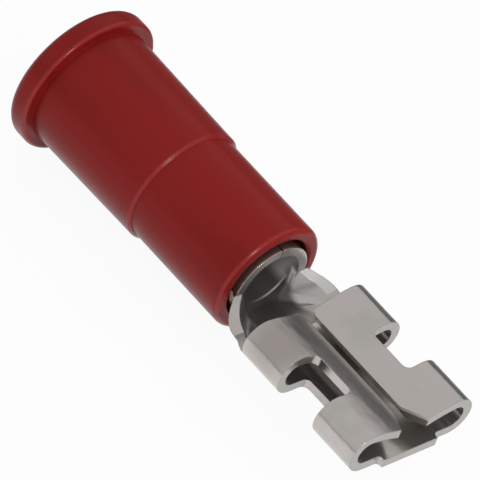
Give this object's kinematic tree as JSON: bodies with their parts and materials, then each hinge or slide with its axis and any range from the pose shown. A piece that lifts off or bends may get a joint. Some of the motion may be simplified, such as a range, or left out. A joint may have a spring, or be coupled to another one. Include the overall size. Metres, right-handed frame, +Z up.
{
  "type": "female spade terminal",
  "caption": "Insulated female spade terminal: red vinyl sleeve over a rolled wire barrel, with a notched push-on receptacle for a flat blade.",
  "frame": {"origin": "middle of the wire barrel, on its axis, where the crimp goes", "axes": "+X along the barrel towards the mouth of the receptacle, +Z up on the side of the folded wings, +Y across the receptacle"},
  "size_m": [0.0211, 0.0064, 0.0064],
  "materials": {
    "vinyl": "satin moulded vinyl",
    "tin_plate": "bright tin plate over brass"
  },
  "bodies": {
    "root": {"insulating_sleeve": "vinyl", "terminal": "tin_plate"}
  },
  "joints": []
}
